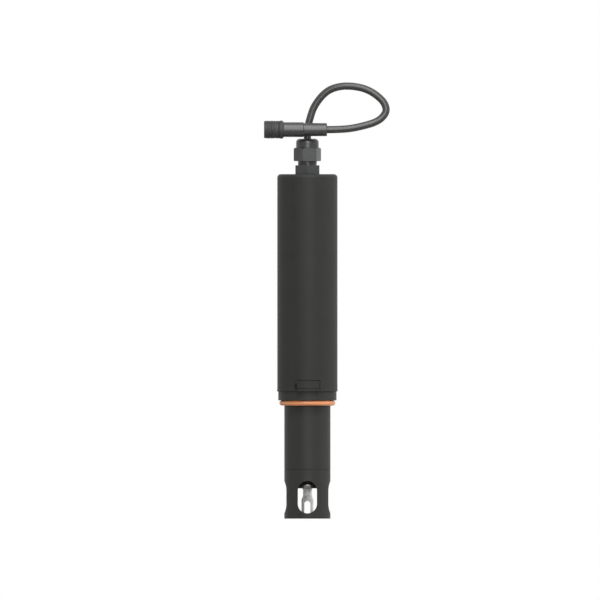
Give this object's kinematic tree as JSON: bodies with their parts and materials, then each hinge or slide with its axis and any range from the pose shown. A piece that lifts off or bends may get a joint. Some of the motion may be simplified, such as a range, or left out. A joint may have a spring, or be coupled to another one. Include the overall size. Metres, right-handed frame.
{
  "type": "conductivity sensor",
  "caption": "Black cylindrical immersion sensor with an orange O-ring, a windowed guard over a fork-shaped measuring cell, a cable gland and a short looped lead with a threaded plug.",
  "frame": {"origin": "centre of the guard's foot, the lowest face of the sensor", "axes": "+Z along the sensor towards the cable gland, -Y out through the front bayonet lug, -X out of the plug's mating face"},
  "size_m": [0.1253, 0.0636, 0.4346],
  "materials": {
    "housing_plastic": "satin",
    "head_plastic": "polished",
    "gland_polyamide": "satin",
    "orange_silicone": "satin",
    "seal_rubber": "matt",
    "cell_ceramic": "ground",
    "platinum": "satin",
    "sensor_glass": "clear",
    "lead_jacket": "satin",
    "potting_resin": "gloss",
    "carrier_plastic": "satin",
    "zinc_steel": "satin",
    "board_laminate": "gloss",
    "chip_epoxy": "matt",
    "capacitor_can": "satin",
    "ferrite": "matt",
    "connector_plastic": "satin",
    "core_insulation": "satin",
    "cable_jacket": "satin",
    "plug_polyamide": "satin",
    "insert_plastic": "matt",
    "gilt_brass": "polished"
  },
  "bodies": {
    "root": {"housing": "housing_plastic", "sensor_barrel": "housing_plastic", "cell_head": "head_plastic", "cell_lock_nut": "head_plastic", "gland_body": "gland_polyamide", "gland_lock_nut": "gland_polyamide", "gland_clamp_cage": "gland_polyamide", "process_o_ring": "orange_silicone", "spigot_o_ring_lower": "seal_rubber", "spigot_o_ring_upper": "seal_rubber", "cell_head_o_ring": "seal_rubber", "cell_o_ring": "seal_rubber", "gland_o_ring": "seal_rubber", "gland_seal": "seal_rubber", "plug_seal_ring": "seal_rubber", "plug_grommet": "seal_rubber", "cell_body": "cell_ceramic", "current_electrodes": "platinum", "voltage_electrodes": "platinum", "temperature_sensor": "sensor_glass", "cell_lead_bundle": "lead_jacket", "potting_plug": "potting_resin", "board_carrier": "carrier_plastic", "carrier_screws": "zinc_steel", "terminal_screws": "zinc_steel", "main_board": "board_laminate", "board_chips": "chip_epoxy", "board_capacitors": "capacitor_can", "isolation_transformer": "ferrite", "lead_header": "connector_plastic", "cable_terminal": "connector_plastic", "cable_cores": "core_insulation", "cable": "cable_jacket", "cable_tail": "cable_jacket", "plug_cable_end": "cable_jacket", "plug_shell": "plug_polyamide", "plug_backshell": "plug_polyamide", "plug_insert": "insert_plastic", "plug_pins": "gilt_brass"},
    "guard_lift": {"guard_o_ring": "seal_rubber"},
    "guard": {"guard_cage": "housing_plastic"},
    "gland_nut_lift": {"gland_slip_ring": "gland_polyamide"},
    "gland_nut": {"gland_dome_nut": "gland_polyamide"}
  },
  "joints": [
    {"name": "guard_feed", "type": "slide", "parent": "root", "child": "guard_lift", "axis": [0, 0, -1], "range_m": [0, 0.009]},
    {"name": "guard_turn", "type": "hinge", "parent": "guard_lift", "child": "guard", "pos_m": [0, 0, 0.0437], "axis": [0, 0, -1], "range_deg": [0, 2160]},
    {"name": "gland_nut_feed", "type": "slide", "parent": "root", "child": "gland_nut_lift", "axis": [0, 0, 1], "range_m": [0, 0.0015]},
    {"name": "gland_nut_turn", "type": "hinge", "parent": "gland_nut_lift", "child": "gland_nut", "pos_m": [0, 0, 0.3629], "axis": [0, 0, 1], "range_deg": [0, 360]}
  ],
  "couplings": [
    {"joint": "guard_feed", "follows": "guard_turn", "m_per_rad": 0.00023873},
    {"joint": "gland_nut_feed", "follows": "gland_nut_turn", "m_per_rad": 0.00023873}
  ]
}
